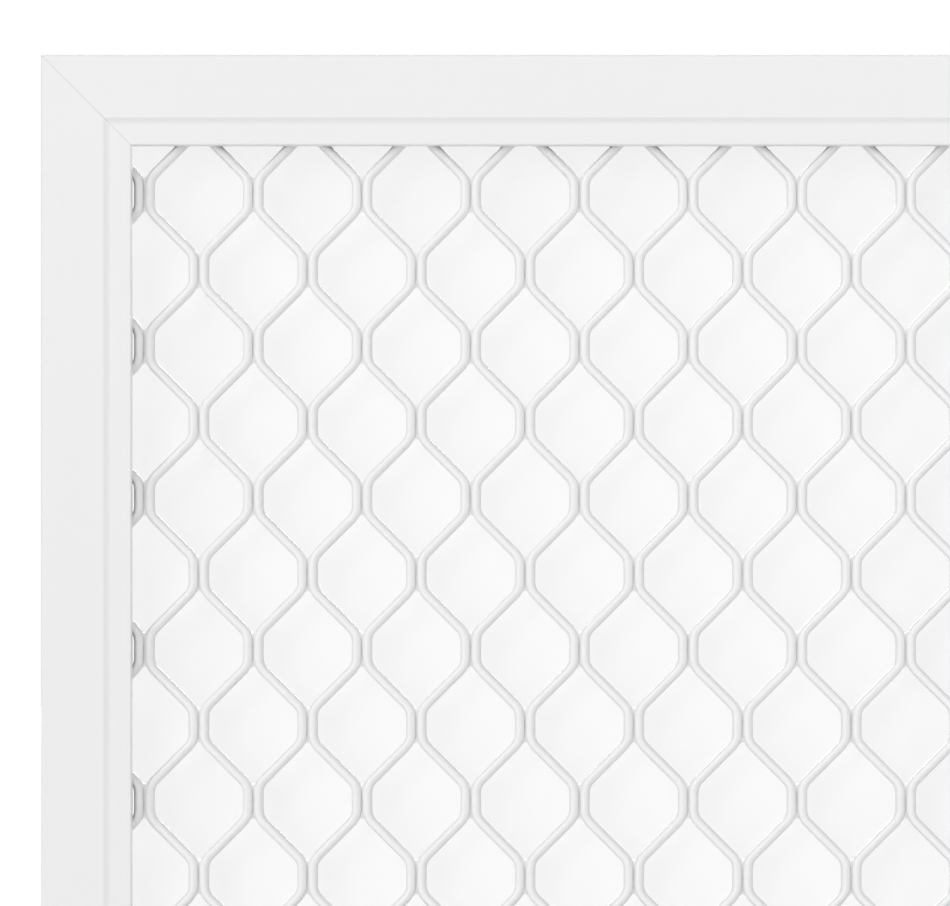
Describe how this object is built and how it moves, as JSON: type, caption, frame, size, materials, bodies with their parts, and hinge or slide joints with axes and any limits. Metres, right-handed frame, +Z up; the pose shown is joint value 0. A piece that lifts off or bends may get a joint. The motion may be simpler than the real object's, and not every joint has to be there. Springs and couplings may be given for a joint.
{
  "type": "window security screen",
  "caption": "Rectangular window security screen: a mitred hollow aluminium frame with a stepped inner lip holds an expanded diamond grille and is screwed on from behind.",
  "frame": {"origin": "middle of the back face, at the centre of the four fixing holes", "axes": "+X along the width, to the right as seen from the front; +Y from the front to the back, towards the window; +Z up"},
  "size_m": [0.512, 0.024, 0.48],
  "materials": {
    "frame_coat": "satin white powder coat on extruded aluminium",
    "grille_coat": "satin white powder coat on expanded aluminium",
    "stake_metal": "bare mill finish"
  },
  "bodies": {
    "root": {"head_rail": "frame_coat", "sill_rail": "frame_coat", "left_jamb": "frame_coat", "right_jamb": "frame_coat", "diamond_grille": "grille_coat", "corner_stake_top_left": "stake_metal", "corner_stake_top_right": "stake_metal", "corner_stake_bottom_right": "stake_metal", "corner_stake_bottom_left": "stake_metal"}
  },
  "joints": []
}
